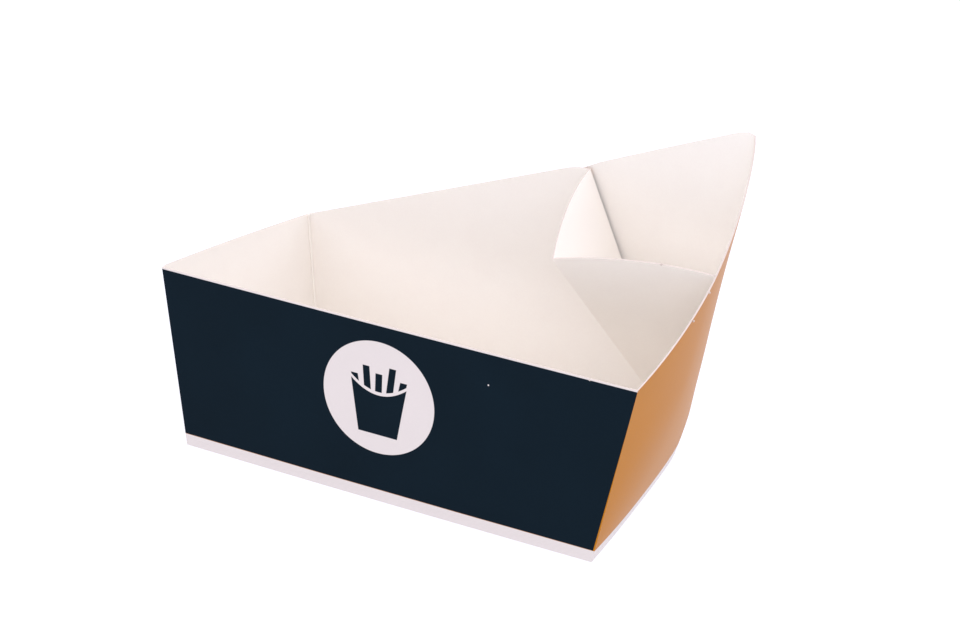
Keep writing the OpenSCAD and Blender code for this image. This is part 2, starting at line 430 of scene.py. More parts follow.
def wall_rule(t):
    """The numbers of the right wall's rule, from the tray's settings."""
    front_y = -t.base_depth / 2
    lean = math.tan(t.rear_lean)
    end_y = t.base_depth / 2 + (t.card - GLUE_SINK) / math.cos(t.rear_lean)
    low = Vector((front_y, t.front_h))
    high = Vector((end_y + t.tip_h * lean, t.tip_h))
    chord = high - low
    radius = ((chord.length / 2) ** 2 + t.cut_sag**2) / (2 * t.cut_sag)
    up = Vector((-chord.y, chord.x)).normalized()
    centre = (low + high) / 2 + up * (radius - t.cut_sag)
    return SimpleNamespace(
        half_front=t.base_front / 2,
        front_lean=t.right_flare / t.front_h,
        half_rear=t.base_rear / 2,
        rear_out=t.tip_out,
        tip_h=t.tip_h,
        bend=t.fold_bend * (BEND_POWER + 1) * (1 + 1 / BEND_POWER) ** BEND_POWER,
        front_y=front_y,
        end_y=end_y,
        lean=lean,
        bow=t.base_bow,
        bulge=t.wall_bulge,
        bulge_h=t.bulge_h,
        ends_low=2.5,
        ends_high=1.75,
        draw=1.7 * MM,
        draw_h=14.0 * MM,
        draw_power=16.0,
        cut_y=centre.x,
        cut_z=centre.y,
        cut_r=radius,
    )


def wall_point(w, s, z):
    """Point of the right wall's outer face."""
    return np.array([wall_x(w, s, z), wall_y(w, s, z), z])


def group_with_inputs(name, inputs):
    """A Geometry Nodes group with named inputs and their values, as a tree and its inputs' links."""
    group = bpy.data.node_groups.new(name, "GeometryNodeTree")
    for key, (kind, value) in inputs.items():
        label = key.replace("_", " ").capitalize()
        item = group.interface.new_socket(label, in_out="INPUT", socket_type=kind)
        if value is not None:
            item.default_value = value
    group.interface.new_socket("Geometry", in_out="OUTPUT", socket_type="NodeSocketGeometry")
    tree = Tree(group)
    source = group.nodes.new("NodeGroupInput")
    return tree, {key: Link(tree, source.outputs[n]) for n, key in enumerate(inputs)}


def finish_group(tree, shape, material):
    """Ends a Geometry Nodes group with real geometry and its material."""
    real = tree.add("GeometryNodeRealizeInstances", {0: shape})
    dressed = tree.add("GeometryNodeSetMaterial", {"Geometry": real, "Material": material})
    tree.add("NodeGroupOutput", {0: dressed})


def placed(name, data):
    """A new object in the scene that holds some data."""
    thing = bpy.data.objects.new(name, data)
    bpy.context.scene.collection.objects.link(thing)
    return thing


def made_by_nodes(name, group, points=(), edges=()):
    """Plain mesh that a Geometry Nodes group makes from a start mesh."""
    start = bpy.data.meshes.new(name + "_start")
    start.from_pydata(points, edges, [])
    carrier = placed(name, start)
    modifier = carrier.modifiers.new(name, "NODES")
    modifier.node_group = group
    seen = carrier.evaluated_get(bpy.context.evaluated_depsgraph_get())
    mesh = bpy.data.meshes.new_from_object(seen)
    mesh.name = name
    bpy.data.objects.remove(carrier)
    bpy.data.meshes.remove(start)
    return mesh


def right_wall_mesh(w, material):
    """The right wall's outer face, a grid that its rule bends."""
    inputs = {key: ("NodeSocketFloat", value) for key, value in vars(w).items()}
    inputs["columns"] = ("NodeSocketInt", DEEP_STEPS)
    inputs["rows"] = ("NodeSocketInt", HIGH_STEPS)
    tree, links = group_with_inputs("Bulged wall", inputs)
    counts = {"Vertices X": links["columns"] + 1.0, "Vertices Y": links["rows"] + 1.0}
    grid = tree.add("GeometryNodeMeshGrid", {"Size X": 1.0, "Size Y": 1.0, **counts})
    across, along, _ = tree.split(tree.add("GeometryNodeInputPosition"))
    rule = SimpleNamespace(**links)
    s = across + 0.5
    z = wall_top(rule, s) * (along + 0.5)
    place = tree.add("ShaderNodeCombineXYZ", {0: wall_x(rule, s, z), 1: wall_y(rule, s, z), 2: z})
    bent = tree.add("GeometryNodeSetPosition", {"Geometry": grid, "Position": place})
    finish_group(tree, bent, material)
    return made_by_nodes("right_wall", tree.tree)


# Panels


def mixed(first, second, share):
    """What lies at a share of the way from the first to the second."""
    return np.asarray(first) * (1 - share) + np.asarray(second) * share


def line(start, end, steps):
    """Evenly spaced points on a straight line."""
    return mixed(start, end, np.linspace(0, 1, steps + 1)[:, None])


def bowed(start, end, steps, out):
    """Points on a line that bows out halfway along."""
    share = np.linspace(0, 1, steps + 1)[:, None]
    return line(start, end, steps) + np.asarray(out) * np.sin(math.pi * share)


def soft(start, aim, end):
    """Points of a soft corner that heads for aim."""
    share = np.linspace(0, 1, ROUND_STEPS + 1)[:, None]
    return mixed(mixed(start, aim, share), mixed(aim, end, share), share)


def even(points, steps):
    """The same path with evenly spaced points."""
    points = np.asarray(points)
    run = np.concatenate([[0], np.cumsum(np.linalg.norm(np.diff(points, axis=0), axis=1))])
    at = np.linspace(0, run[-1], steps + 1)
    return np.stack([np.interp(at, run, points[:, axis]) for axis in range(3)], axis=1)


def patch(bottom, top, left, right):
    """Grid of points between four edges that meet at their ends."""
    u = np.linspace(0, 1, len(bottom))[:, None, None]
    v = np.linspace(0, 1, len(left))[None, :, None]
    ruled = mixed(bottom[:, None], top[:, None], v)
    across = mixed(left[None], right[None], u)
    low = mixed(bottom[0], bottom[-1], u)
    high = mixed(top[0], top[-1], u)
    return ruled + across - (1 - v) * low - v * high


def swell(grid):
    """Share for each of a grid's points: 0 on the grid's edges and 1 in its middle."""
    across, upward = (np.sin(math.pi * np.linspace(0, 1, count)) for count in grid.shape[:2])
    return (across[:, None] * upward[None, :])[..., None]


def waved(grid, facing):
    """The grid with the faint waves of folded card, still along its edges."""
    waves = [[noise.noise(Vector(point) / WAVE_SIZE) for point in row] for row in grid]
    return grid + swell(grid) * np.array(waves)[..., None] * WAVE_HEIGHT * np.asarray(facing)


def arc_over(start, end, away_from, crown, steps):
    """Arc between two points that stands out by crown on the side away from a third."""
    chord = end - start
    half = np.linalg.norm(chord) / 2
    radius = (half * half + crown * crown) / (2 * crown)
    along = chord / (2 * half)
    middle = (start + end) / 2
    away = middle - away_from
    up = away - along * (away @ along)
    up = up / np.linalg.norm(up)
    turn = np.linspace(-1, 1, steps + 1)[:, None] * math.asin(half / radius)
    return middle + along * radius * np.sin(turn) + up * (radius * np.cos(turn) - radius + crown)


def unit(vector):
    """The vector with a length of 1."""
    return vector / np.linalg.norm(vector)


def meet(planes):
    """Point where three planes meet, each given as its normal and its distance along it."""
    normals = np.array([normal for normal, _ in planes])
    return np.linalg.solve(normals, [distance for _, distance in planes])


class Pocket:
    """The pocket's planes, folds and points on the card's outer face, which is the pocket's inside."""

    def __init__(self, t, w):
        self.t, self.w = t, w
        sin, cos = math.sin, math.cos
        rear_y = t.base_depth / 2
        lean = t.rear_lean
        # Points named food are on the card's other face, which is on the food's side
        food_x = wall_x(w, 1.0, t.apex_h) - t.card
        food_y = rear_y + t.apex_h * w.lean - t.card / cos(lean)
        food_apex = np.array([food_x, food_y, t.apex_h])
        up = np.array([-sin(t.side_tilt), cos(t.side_tilt) * sin(lean), cos(t.side_tilt) * cos(lean)])
        level = cos(t.fold_rise)
        fold = np.array([-sin(t.fold_turn) * level, -cos(t.fold_turn) * level, sin(t.fold_rise)])
        food_peak = food_apex + t.side_r * up
        food_fold = food_apex + t.side_r * fold
        end_z = self.cut_height(t.front_end_y)
        front_end = wall_point(w, wall_share(w, t.front_end_y, end_z), end_z)
        # Normals out of the card on the pocket's side
        self.side_normal = unit(np.cross(up, fold))
        self.front_normal = unit(np.cross(fold, front_end - food_apex))
        side = (self.side_normal, self.side_normal @ food_apex + t.card)
        front = (self.front_normal, self.front_normal @ food_apex + t.card)
        rear = (np.array([0, cos(lean), -sin(lean)]), rear_y * cos(lean))
        self.apex = meet([side, front, rear])
        self.peak = self.apex + up * ((food_peak - self.apex) @ up)
        self.fold_top = self.apex + fold * ((food_fold - self.apex) @ fold)
        reach = front_end - self.apex
        reach = reach - self.front_normal * (reach @ self.front_normal)
        self.along = fold
        self.across = unit(reach - fold * (reach @ fold))
        self.top_r = np.linalg.norm(reach)

    def cut_height(self, y):
        """Height of the right wall's cut edge at y."""
        w = self.w
        return w.cut_z - math.sqrt(w.cut_r**2 - (y - w.cut_y) ** 2)

    def front_point(self, r, turn):
        """Point of the pocket's front, r from its foot and turned from the fold to the right wall."""
        return self.apex + r * (math.cos(turn) * self.along + math.sin(turn) * self.across)

    def contact(self, r):
        """Turn at which the pocket's front is halfway through the right wall's card."""
        low, high = CONTACT_TURNS
        for _ in range(CONTACT_HALVINGS):
            turn = (low + high) / 2
            x, y, z = self.front_point(r, turn)
            s = min(1.0, wall_share(self.w, y, z))
            if x > wall_x(self.w, s, z) - self.t.card / 2:
                high = turn
            else:
                low = turn
        return (low + high) / 2

    def side_grid(self):
        """Grid of the pocket's side, which runs from the rear wall to the pocket's front."""
        arc = arc_over(self.fold_top, self.peak, self.apex, self.t.side_crown, SIDE_STEPS)
        share = np.linspace(0, 1, HIGH_STEPS - LOW_STEPS + 1)[None, :, None]
        return self.apex + (arc[:, None] - self.apex) * share

    def front_grid(self):
        """Grid of the pocket's front, which ends inside the right wall's card."""
        corner = self.front_point(self.top_r, self.contact(self.top_r))
        arc = arc_over(self.fold_top, corner, self.apex, self.t.front_crown, FRONT_STEPS) - self.apex
        far = np.linalg.norm(arc, axis=1)
        turns = np.arctan2(arc @ self.across, arc @ self.along)
        rows = HIGH_STEPS - LOW_STEPS
        grid = np.zeros((FRONT_STEPS + 1, rows + 1, 3))
        for j in range(rows + 1):
            share = j / rows
            narrow = self.contact(max(share, CONTACT_LOW) * self.top_r) / turns[-1]
            for i in range(FRONT_STEPS + 1):
                grid[i, j] = self.front_point(far[i] * share, turns[i] * narrow)
        return grid


def panel_grids(t, w):
    """Grids of the outer face of every flat panel, with the side that each faces."""
    pocket = Pocket(t, w)
    rear_y = t.base_depth / 2
    low_fl = np.array([-t.base_front / 2, w.front_y, 0])
    low_fr = np.array([t.base_front / 2, w.front_y, 0])
    low_rl = np.array([-t.base_rear / 2, rear_y, 0])
    top_fl = np.array([-t.base_front / 2 - t.left_flare, w.front_y, t.front_h])
    top_fr = np.array([t.base_front / 2 + t.right_flare, w.front_y, t.front_h])
    left_normal = np.cross(low_rl - low_fl, top_fl - low_fl)
    top_y = rear_y + t.corner_h * w.lean
    drop = left_normal[1] * (top_y - w.front_y) + left_normal[2] * t.corner_h
    top_rl = np.array([low_fl[0] - drop / left_normal[0], top_y, t.corner_h])

    def at_rear(x, z, y=rear_y):
        return np.array([x, y + z * w.lean, z])

    front_fold = line(low_fl, top_fl, HIGH_STEPS)
    right_fold = line(low_fr, top_fr, HIGH_STEPS)
    rear_fold = line(low_rl, top_rl, HIGH_STEPS)
    forward = (0, -t.front_bow, 0)
    front_foot = bowed(low_fl, low_fr, LONG_STEPS, forward)
    front_rim = bowed(top_fl, top_fr, LONG_STEPS, forward)
    left_top = bowed(top_fl, top_rl, DEEP_STEPS, (-t.left_bow, 0, 0))
    left_top[1:, 2] += t.left_step * np.linspace(1, 0, DEEP_STEPS)
    left_foot = line(low_fl, low_rl, DEEP_STEPS)
    right_foot = np.array([wall_point(w, i / DEEP_STEPS, 0.0) for i in range(DEEP_STEPS + 1)])
    rear_foot = line(low_rl, right_foot[-1], LONG_STEPS)
    back_fold = np.array([wall_point(w, 1.0, t.tip_h * j / HIGH_STEPS) for j in range(HIGH_STEPS + 1)])

    slope = math.tan(t.rear_slope)
    edge_x = pocket.peak[0] - t.peak_round
    edge_z = t.corner_h + (edge_x - top_rl[0]) * slope
    aim = at_rear(edge_x + t.peak_round / 2, edge_z + t.peak_round / 2 * slope)
    rear_top = even([top_rl, *soft(at_rear(edge_x, edge_z), aim, pocket.peak)], LONG_STEPS)
    foot_to_apex = line(right_foot[-1], pocket.apex, LOW_STEPS)
    apex_to_peak = line(pocket.apex, pocket.peak, HIGH_STEPS - LOW_STEPS)
    rear_right = np.concatenate([foot_to_apex, apex_to_peak[1:]])

    slope = math.tan(t.back_slope)
    tip_x = t.base_rear / 2 + t.tip_out
    start_x = tip_x - t.tip_round
    start_z = t.tip_h - TIP_DROP
    left_x = pocket.peak[0] - t.glue_w / math.cos(t.side_tilt)
    left_z = start_z - (start_x - left_x) * slope - STRIP_DROP
    peak_z = start_z - (start_x - pocket.peak[0]) * slope
    low_x = left_x + (left_z - t.apex_h) * math.tan(t.side_tilt) * math.cos(t.rear_lean)

    def back_point(x, z):
        return at_rear(x, z, w.end_y)

    tip_start = back_point(start_x, start_z)
    tip = ((start_x, TIP_AIM), (tip_x, TIP_MIDDLE), (tip_x, TIP_SIDE))
    tip_aim, tip_end, tip_side = (back_point(x + run, t.tip_h + up) for x, (run, up) in tip)
    back_round = [*soft(tip_start, tip_aim, tip_end), *soft(tip_end, tip_side, back_fold[-1])[1:]]
    back_left = line(back_point(low_x, t.apex_h), back_point(left_x, left_z), HIGH_STEPS)
    back_foot = line(back_left[0], back_fold[0], BACK_STEPS)
    x = pocket.peak[0]
    strip_end = back_point(x - STRIP_END, peak_z - STRIP_DROP)
    rise = [back_point(x + run, peak_z + run * slope - low) for run, low in BACK_SAGS]
    back_top = even([back_left[-1], strip_end, *rise, *back_round], BACK_STEPS)

    base = patch(front_foot, rear_foot, left_foot, right_foot)
    base += swell(base) * (0, 0, t.base_lift)
    back = patch(back_foot, back_top, back_left, back_fold)
    back[..., 1] += t.glue_gap * np.sin(math.pi * np.linspace(0, 1, len(back)))[:, None]
    front = patch(front_foot, front_rim, front_fold, right_fold)
    left = patch(left_foot, left_top, front_fold, rear_fold)
    rear = patch(rear_foot, rear_top, rear_fold, rear_right)
    backwards = (0, 1, 0)
    walls = {"front": (front, (0, -1, 0)), "left": (left, (-1, 0, 0))}
    walls |= {"rear": (rear, backwards), "back": (back, backwards)}
    return {
        "base": (base, (0, 0, -1)),
        **{name: (waved(grid, facing), facing) for name, (grid, facing) in walls.items()},
        "pocket_side": (pocket.side_grid(), pocket.side_normal),
        "pocket_front": (pocket.front_grid(), pocket.front_normal),
    }


PANELS = ("base", "front", "left", "rear", "back", "pocket_side", "pocket_front", "right")
OUTER_SLOTS = {
    "base": "underside",
    "front": "front_print",
    **dict.fromkeys(("left", "rear", "back", "right"), "side_print"),
    **dict.fromkeys(("pocket_side", "pocket_front"), "pocket_coat"),
}
OUTER_NAMES = ("front_print", "side_print", "underside", "pocket_coat", "glue_and_slit_shade")
SLOT_NAMES = (*OUTER_NAMES, "inside_board", "cut_edge")


def add_grid(sheet, grid, panel, facing):
    """Adds a panel's grid to the sheet, wound so that its faces look the given way."""
    across = grid[-1, grid.shape[1] // 2] - grid[0, grid.shape[1] // 2]
    upward = grid[grid.shape[0] // 2, -1] - grid[grid.shape[0] // 2, 0]
    turned = np.dot(np.cross(across, upward), facing) < 0
    verts = [[sheet.verts.new(point) for point in row] for row in grid]
    layer = sheet.faces.layers.int["panel"]
    for i in range(len(verts) - 1):
        for j in range(len(verts[0]) - 1):
            corners = [verts[i][j], verts[i + 1][j], verts[i + 1][j + 1], verts[i][j + 1]]
            face = sheet.faces.new(corners[::-1] if turned else corners)
            face[layer] = PANELS.index(panel)


def mark_glued(sheet, strip):
    """Marks the rear wall's faces well under the glued strip, where the blank has no print, for the dark
    patch of painted shade in the slit.
    """
    side, top = strip[0], strip[:, -1]
    lowest = side[0, 2] + BARE_FOOT
    panel, bare = (sheet.faces.layers.int[name] for name in ("panel", "bare"))
    for face in sheet.faces:
        x, _, z = face.calc_center_median()
        highest = np.interp(x, top[:, 0], top[:, 2]) - BARE_TOP
        covered = x > np.interp(z, side[:, 2], side[:, 0]) + BARE_SIDE and lowest < z < highest
        face[bare] = face[panel] == PANELS.index("rear") and bool(covered)


def outer_sheet(t, w, side_print):
    """The card's outer face: all panels, joined along their folds."""
    sheet = bmesh.new()
    sheet.faces.layers.int.new("panel")
    sheet.faces.layers.int.new("bare")
    grids = panel_grids(t, w)
    for panel, (grid, facing) in grids.items():
        add_grid(sheet, grid, panel, facing)
    mark_glued(sheet, grids["back"][0])
    wall = right_wall_mesh(w, side_print)
    sheet.from_mesh(wall)
    bpy.data.meshes.remove(wall)
    sheet.faces.ensure_lookup_table()
    layer = sheet.faces.layers.int["panel"]
    right = list(sheet.faces)[-DEEP_STEPS * HIGH_STEPS :]
    for face in right:
        face[layer] = PANELS.index("right")
    sheet.normal_update()
    if sum(face.normal.x for face in right) < 0:
        bmesh.ops.reverse_faces(sheet, faces=right)
    bmesh.ops.remove_doubles(sheet, verts=sheet.verts, dist=JOIN_GAP)
    bmesh.ops.dissolve_degenerate(sheet, edges=sheet.edges, dist=THIN_EDGE)
    return sheet


def step_inward(vert, layer, card):
    """Step from a point of the outer face to the inner one, mitred where panels meet."""
    normals = {}
    for face in vert.link_faces:
        normals.setdefault(face[layer], Vector())
        normals[face[layer]] += face.normal * face.calc_area()
    rows = np.array([normal.normalized() for normal in normals.values()])
    return Vector(np.linalg.lstsq(rows, np.full(len(rows), -card), rcond=FLAT_SHARE)[0])


def fold_width(panels, outside):
    """Width of the rounding of the fold between two panels."""
    if panels == {"left", "rear"} and outside:
        return CORNER_OUTSIDE
    if panels == {"rear", "pocket_side"}:
        return POCKET_FOLD if outside else FOLD_INSIDE
    if panels == {"right", "back"}:
        return FOLD_INSIDE
    return FOLD_OUTSIDE if outside else FOLD_INSIDE


def thicken(sheet, card):
    """Gives the sheet its inner face and cut edges, and marks what the bevel rounds.

    It returns the ridge of every fold's edges, as the names of the two panels and its two ends.
    """
    sheet.normal_update()
    layer, bare = (sheet.faces.layers.int[name] for name in ("panel", "bare"))
    weight = sheet.edges.layers.float.new("bevel_weight_edge")
    inner = {vert: vert.co + step_inward(vert, layer, card) for vert in sheet.verts}
    outer_faces = list(sheet.faces)
    outer_edges = list(sheet.edges)
    folds = []
    rims = []
    for edge in outer_edges:
        panels = {PANELS[face[layer]] for face in edge.link_faces}
        if len(edge.link_faces) == 1:
            rims.append(edge)
        elif len(panels) == 2:
            folds.append((edge, panels))
    twin = {vert: sheet.verts.new(place) for vert, place in inner.items()}
    for face in outer_faces:
        # Faces under the glued strip get the dark patch: dried glue, darkened as painted shade that
        # deepens the slit
        outside = "glue_and_slit_shade" if face[bare] else OUTER_SLOTS[PANELS[face[layer]]]
        face.material_index = SLOT_NAMES.index(outside)
        back = sheet.faces.new([twin[vert] for vert in reversed(face.verts)])
        back[layer] = face[layer]
        back.material_index = SLOT_NAMES.index("inside_board")
    for edge in rims:
        loop = edge.link_loops[0]
        first, second = loop.vert, loop.link_loop_next.vert
        rim = sheet.faces.new([second, first, twin[first], twin[second]])
        rim[layer] = loop.face[layer]
        rim.material_index = SLOT_NAMES.index("cut_edge")
        for a, b in ((first, second), (twin[first], twin[second])):
            sheet.edges.get((a, b))[weight] = CUT_ROUND / BEVEL_UNIT
    for edge, panels in folds:
        a, b = edge.verts
        edge[weight] = fold_width(panels, True) / BEVEL_UNIT
        sheet.edges.get((twin[a], twin[b]))[weight] = fold_width(panels, False) / BEVEL_UNIT
    ridge = {vert: place + (place - vert.co).normalized() * RIDGE_OFFSET for vert, place in inner.items()}
    return [(panels, *(tuple(ridge[vert]) for vert in edge.verts)) for edge, panels in folds]


def with_modifiers(piece):
    """Turns a piece's modifiers into plain mesh."""
    graph = bpy.context.evaluated_depsgraph_get()
    mesh = bpy.data.meshes.new_from_object(piece.evaluated_get(graph), depsgraph=graph)
    old = piece.data
    piece.modifiers.clear()
    piece.data = mesh
    mesh.name = piece.name
    bpy.data.meshes.remove(old)


def crease_bead_mesh(folds, radius, material):
    """Ridges that creasing pushes up inside the folds: a bead along each."""
    places = {}
    edges = []
    for _, *ends in folds:
        keys = [tuple(round(value, 7) for value in point) for point in ends]
        edges.append([places.setdefault(key, len(places)) for key in keys])
    inputs = {"geometry": ("NodeSocketGeometry", None), "bead_radius": ("NodeSocketFloat", radius)}
    tree, links = group_with_inputs("Crease beads", inputs)
    path = tree.add("GeometryNodeMeshToCurve", {0: links["geometry"]})
    ring = {"Resolution": 8, "Radius": links["bead_radius"]}
    profile = tree.add("GeometryNodeCurvePrimitiveCircle", ring)
    values = {"Curve": path, "Profile Curve": profile, "Fill Caps": True}
    bead = tree.add("GeometryNodeCurveToMesh", values)
    smooth = tree.add("GeometryNodeSetShadeSmooth", {"Geometry": bead})
    finish_group(tree, smooth, material)
    return made_by_nodes("crease_beads", tree.tree, list(places), edges)


def torn_tag_mesh(places, wear, material):
    """Small torn tags where the blank was held in its sheet, one at each place."""
    inputs = {
        "geometry": ("NodeSocketGeometry", None),
        "tag_width": ("NodeSocketFloat", wear.tag_w),
        "tag_height": ("NodeSocketFloat", wear.tag_h),
        "seed": ("NodeSocketInt", wear.seed),
    }
    tree, links = group_with_inputs("Torn tags", inputs)
    width = links["tag_width"]
    values = {0: width, 1: width * TAG_DEPTH, 2: links["tag_height"]}
    size = tree.add("ShaderNodeCombineXYZ", values)
    block = tree.add("GeometryNodeMeshCube", {0: size, 1: 5, 2: 4, 3: 4})
    grain = tree.add("ShaderNodeTexNoise", {"Scale": 1 / TAG_GRAIN, "Detail": 2.0}, out=1)
    values = {0: grain, 1: (0.5, 0.5, 0.5)}
    push = tree.add("ShaderNodeVectorMath", values, {"operation": "SUBTRACT"})
    push = tree.stretch(push, (TAG_TEAR, TAG_TEAR, TAG_TEAR))
    torn = tree.add("GeometryNodeSetPosition", {"Geometry": block, "Offset": push})
    span = {"data_type": "FLOAT_VECTOR"}
    draws = ((*TAG_TURNS, links["seed"]), (*TAG_SIZES, links["seed"] + 3))
    turn, grow = (
        tree.add("FunctionNodeRandomValue", {0: low, 1: high, "Seed": seed}, span)
        for low, high, seed in draws
    )
    values = {"Points": links["geometry"], "Instance": torn, "Rotation": turn, "Scale": grow}
    tags = tree.add("GeometryNodeInstanceOnPoints", values)
    finish_group(tree, tags, material)
    return made_by_nodes("torn_tags", tree.tree, places)


def tag_places(t, w):
    """Where the torn tags stand: on the front rim, the right cut edge and the pocket's top edge."""
    rim_x, rim_low = RIM_TAG
    rim = np.array([rim_x, w.front_y, t.front_h - rim_low])
    wall = [wall_point(w, s, wall_top(w, s)) - (0, 0, low) for s, low in WALL_TAGS]
    pocket = Pocket(t, w)
    outer = pocket.front_grid()[int(FRONT_STEPS * POCKET_TAG), -1]
    top = outer - pocket.front_normal * (t.card / 2)
    return [tuple(place) for place in (rim, *wall, top)]


def new_piece(name, mesh, materials):
    """An object at the origin that holds a mesh and its materials."""
    for material in materials:
        mesh.materials.append(material)
    return placed(name, mesh)


# Materials


def new_material(name):
    """A material, its tree and its object coordinates."""
    material = bpy.data.materials.new(name)
    tree = emptied(material)
    return material, tree, tree.add("ShaderNodeTexCoord", out=3)


def principled(tree, values):
    """Principled surface, wired to the material's output."""
    shader = tree.add("ShaderNodeBsdfPrincipled", values)
    tree.add("ShaderNodeOutputMaterial", {0: shader})


def surface(tree, shade, rough, height, depth, gloss):
    """Card's surface with fine relief."""
    bump = tree.add("ShaderNodeBump", {"Strength": 1.0, "Distance": depth, "Height": height})
    values = {
        "Base Color": shade,
        "Roughness": rough,
        "Specular IOR Level": gloss,
        "Normal": bump,
    }
    principled(tree, values)


def ink_mottle(tree, place):
    """Faint unevenness of printed solids: broad blotches and fine specks, about 0."""
    broad = tree.noise(place, 22 * MM, 3.0) - 0.5
    fine = tree.noise(place, 0.7 * MM, 2.0) - 0.5
    return broad * 0.8 + fine * 0.5


def tinted(tree, shade, change):
    """A colour made lighter or darker by a change about 0."""
    dark = tuple(value * 0.8 for value in shade)
    light = tuple(min(1.0, value * 1.2) for value in shade)
    return tree.blend(clamped(change + 0.5), dark, light)


def board_relief(tree, place):
    """Height of the fibres of uncoated board."""
    fibres = tree.noise(tree.stretch(place, (1.0, 1.0, 0.35)), 0.35 * MM, 3.0, 0.6)
    return fibres + tree.noise(place, 2.5 * MM, 2.0) * 0.6


def motif(x, z):
    """Mask of a carton of fries drawn in the disc: 1 in the ink. Millimetres from its middle."""
    top = CARTON_TOP + x * x * CARTON_DIP
    side = abs(x) - (CARTON_HALF + (z - CARTON_FOOT) * CARTON_FLARE)
    drawn = greatest(greatest(side, CARTON_FOOT - z), z - top)
    for middle, tilt, high in STICKS:
        across = abs(x - middle - (z - CARTON_TOP) * tilt) - STICK_HALF
        drawn = least(drawn, greatest(greatest(across, z - high), top + STICK_GAP - z))
    return inside_of(drawn, INK_EDGE)


def front_print(p, w):
    """Navy ink with a bare foot strip, a bare rim and a pale disc with a motif."""
    material, tree, place = new_material("front_print")
    x, _, z = tree.split(place)
    mm_x = (x - p.disc_x) / MM
    mm_z = (z - p.disc_z) / MM
    disc = inside_of(distance(mm_x, mm_z) - p.disc_r / MM, INK_EDGE)
    drawn = disc * motif(mm_x, mm_z)
    foot = inside_of((z - p.foot_h) / MM, FOOT_EDGE)
    under = inside_of((z - p.foot_h) / MM - ORANGE_LINE, FOOT_EDGE)
    wrap = p.wrap_w * greatest(0.0, 1.0 - z / WRAP_HEIGHT)
    under = greatest(under, inside_of((w.half_front + w.front_lean * z - x - wrap) / MM, INK_EDGE))
    rim = inside_of((settings().shape.front_h - p.rim_h - z) / MM, INK_EDGE)
    mottle = ink_mottle(tree, place)
    ink = tinted(tree, tuple(p.navy), mottle)
    white = tinted(tree, tuple(p.coat), mottle * WHITE_MOTTLE)
    orange = tinted(tree, tuple(p.orange), mottle * ORANGE_MOTTLE)
    shade = tree.blend(under, ink, orange)
    chipped = tree.noise(place, CHIP_SIZE) * CHIP_SIZE
    chip = inside_of((distance(x - CHIP[0], z - CHIP[1]) - chipped) / MM, FOOT_EDGE)
    bare = greatest(greatest(greatest(foot, rim), disc - drawn), chip)
    shade = tree.blend(bare, shade, white)
    rough = 0.62 - 0.12 * bare + mottle * 0.08
    surface(tree, shade, rough, board_relief(tree, place), 0.006 * MM, gloss=0.04)
    return material


def side_print(p, w):
    """Orange ink with a gloss that whitens at a low angle, and the bare foot strip."""
    material, tree, place = new_material("side_print")
    x, y, z = tree.split(place)
    s = (y - w.front_y) / (w.end_y - w.front_y)
    rise = p.foot_rise * 4.0 * s * (1.0 - s) * inside_of(-x / MM, 1.0)
    foot = inside_of((z - p.foot_h - rise) / MM, INK_EDGE)
    mottle = ink_mottle(tree, place)
    ink = tinted(tree, tuple(p.orange), mottle * ORANGE_MOTTLE)
    white = tinted(tree, tuple(p.coat), mottle * WHITE_MOTTLE)
    shade = tree.blend(foot, ink, white)
    surface(tree, shade, 0.36 + mottle * 0.06, board_relief(tree, place), 0.004 * MM, gloss=0.10)
    return material


def plain_coat(name, shade, gloss):
    """Coated white face without print."""
    material, tree, place = new_material(name)
    mottle = ink_mottle(tree, place)
    white = tinted(tree, tuple(shade), mottle * WHITE_MOTTLE)
    surface(tree, white, 0.5 + mottle * 0.06, board_relief(tree, place), 0.005 * MM, gloss)
    return material


def inside_board(p):
    """Uncoated board: warm white, with fibres and faint clouds."""
    material, tree, place = new_material("inside_board")
    clouds = tree.noise(place, 9 * MM, 4.0, 0.6) - 0.5
    specks = tree.noise(place, 0.6 * MM, 2.0) - 0.5
    shade = tinted(tree, tuple(p.inside), clouds * 0.12 + specks * 0.10)
    surface(tree, shade, 0.8 + clouds * 0.1, board_relief(tree, place), 0.012 * MM, gloss=0.25)
    return material


def cut_edge(p):
    """Core of the card where the die cut it: rough and a little uneven in shade."""
    material, tree, place = new_material("cut_edge")
    rough_cut = tree.noise(place, 0.25 * MM, 3.0, 0.6)
    shade = tinted(tree, tuple(p.core), (rough_cut - 0.5) * 0.35)
    surface(tree, shade, 0.85, rough_cut, 0.03 * MM, gloss=0.2)
    return material


def floor_paper():
    """Plain pale floor that glows like a light table, so that it stays white."""
    material, tree, place = new_material("floor_paper")
    clouds = tree.noise(place, 400 * MM, 2.0)
    values = {
        "Base Color": tree.blend(clouds, *FLOOR_SHADES),
        "Roughness": 0.9,
        "Specular IOR Level": 0.1,
        "Emission Color": (*DAYLIGHT, 1.0),
        "Emission Strength": FLOOR_GLOW,
    }
    principled(tree, values)
    return material


# Operators


def dress(piece):
    """Lets a piece move with the tray."""
    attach(piece, BODY)


